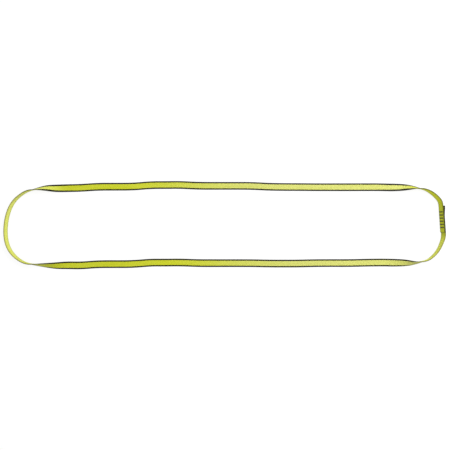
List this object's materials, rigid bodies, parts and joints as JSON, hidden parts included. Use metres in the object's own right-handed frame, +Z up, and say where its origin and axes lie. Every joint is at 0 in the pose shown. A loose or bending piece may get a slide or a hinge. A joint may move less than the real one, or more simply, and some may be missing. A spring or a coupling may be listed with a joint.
{
  "type": "endless webbing sling",
  "caption": "Endless sling of flat webbing with dark selvages, its ends lapped and bar-tacked, laid out as a long loop with both bights standing on edge.",
  "frame": {"origin": "centre of the sling's footprint, on the floor it lies on", "axes": "+X along the two long runs, towards the sewn lap; +Y across the loop; +Z up from the floor"},
  "size_m": [1.0773, 0.2176, 0.0191],
  "materials": {
    "webbing": "woven polyamide tape, lime with near-black selvages",
    "thread": "dark bonded sewing thread",
    "label": "blank woven label"
  },
  "bodies": {
    "right_centre": {"webbing_right_centre_top": "webbing", "webbing_right_centre_bottom": "webbing"},
    "left_centre": {"webbing_left_centre_top": "webbing", "webbing_left_centre_bottom": "webbing"},
    "left_end": {"webbing_left_bight": "webbing"},
    "right_end": {"webbing_right_inner_ply": "webbing", "webbing_right_outer_ply": "webbing", "blank_label": "label", "bar_tack_1": "thread", "bar_tack_2": "thread", "bar_tack_3": "thread", "bar_tack_4": "thread", "bar_tack_5": "thread", "bar_tack_6": "thread"},
    "fold_left_link_1": {"webbing_fold_left_1": "webbing"},
    "fold_middle_link_1": {"webbing_fold_middle_1": "webbing"},
    "fold_right_link_1": {"webbing_fold_right_1": "webbing"}
  },
  "joints": [
    {"name": "fold_middle", "type": "hinge", "parent": "right_centre", "child": "fold_middle_link_1", "pos_m": [0.025, 0, 0.00195], "axis": [0, 1, 0], "range_deg": [0, 90]},
    {"name": "fold_middle_hinge_2", "type": "hinge", "parent": "fold_middle_link_1", "child": "left_centre", "pos_m": [-0.025, 0, 0.00195], "axis": [0, 1, 0], "range_deg": [0, 90]},
    {"name": "fold_left", "type": "hinge", "parent": "left_centre", "child": "fold_left_link_1", "pos_m": [-0.259, 0, 0.00195], "axis": [0, 1, 0], "range_deg": [0, 90]},
    {"name": "fold_left_hinge_2", "type": "hinge", "parent": "fold_left_link_1", "child": "left_end", "pos_m": [-0.281, 0, 0.00195], "axis": [0, 1, 0], "range_deg": [0, 90]},
    {"name": "fold_right", "type": "hinge", "parent": "right_centre", "child": "fold_right_link_1", "pos_m": [0.259, 0, 0.00195], "axis": [0, -1, 0], "range_deg": [0, 90]},
    {"name": "fold_right_hinge_2", "type": "hinge", "parent": "fold_right_link_1", "child": "right_end", "pos_m": [0.281, 0, 0.00195], "axis": [0, -1, 0], "range_deg": [0, 90]}
  ],
  "couplings": [
    {"joint": "fold_middle_hinge_2", "follows": "fold_middle", "ratio": 1},
    {"joint": "fold_left_hinge_2", "follows": "fold_left", "ratio": 1},
    {"joint": "fold_right_hinge_2", "follows": "fold_right", "ratio": 1}
  ]
}
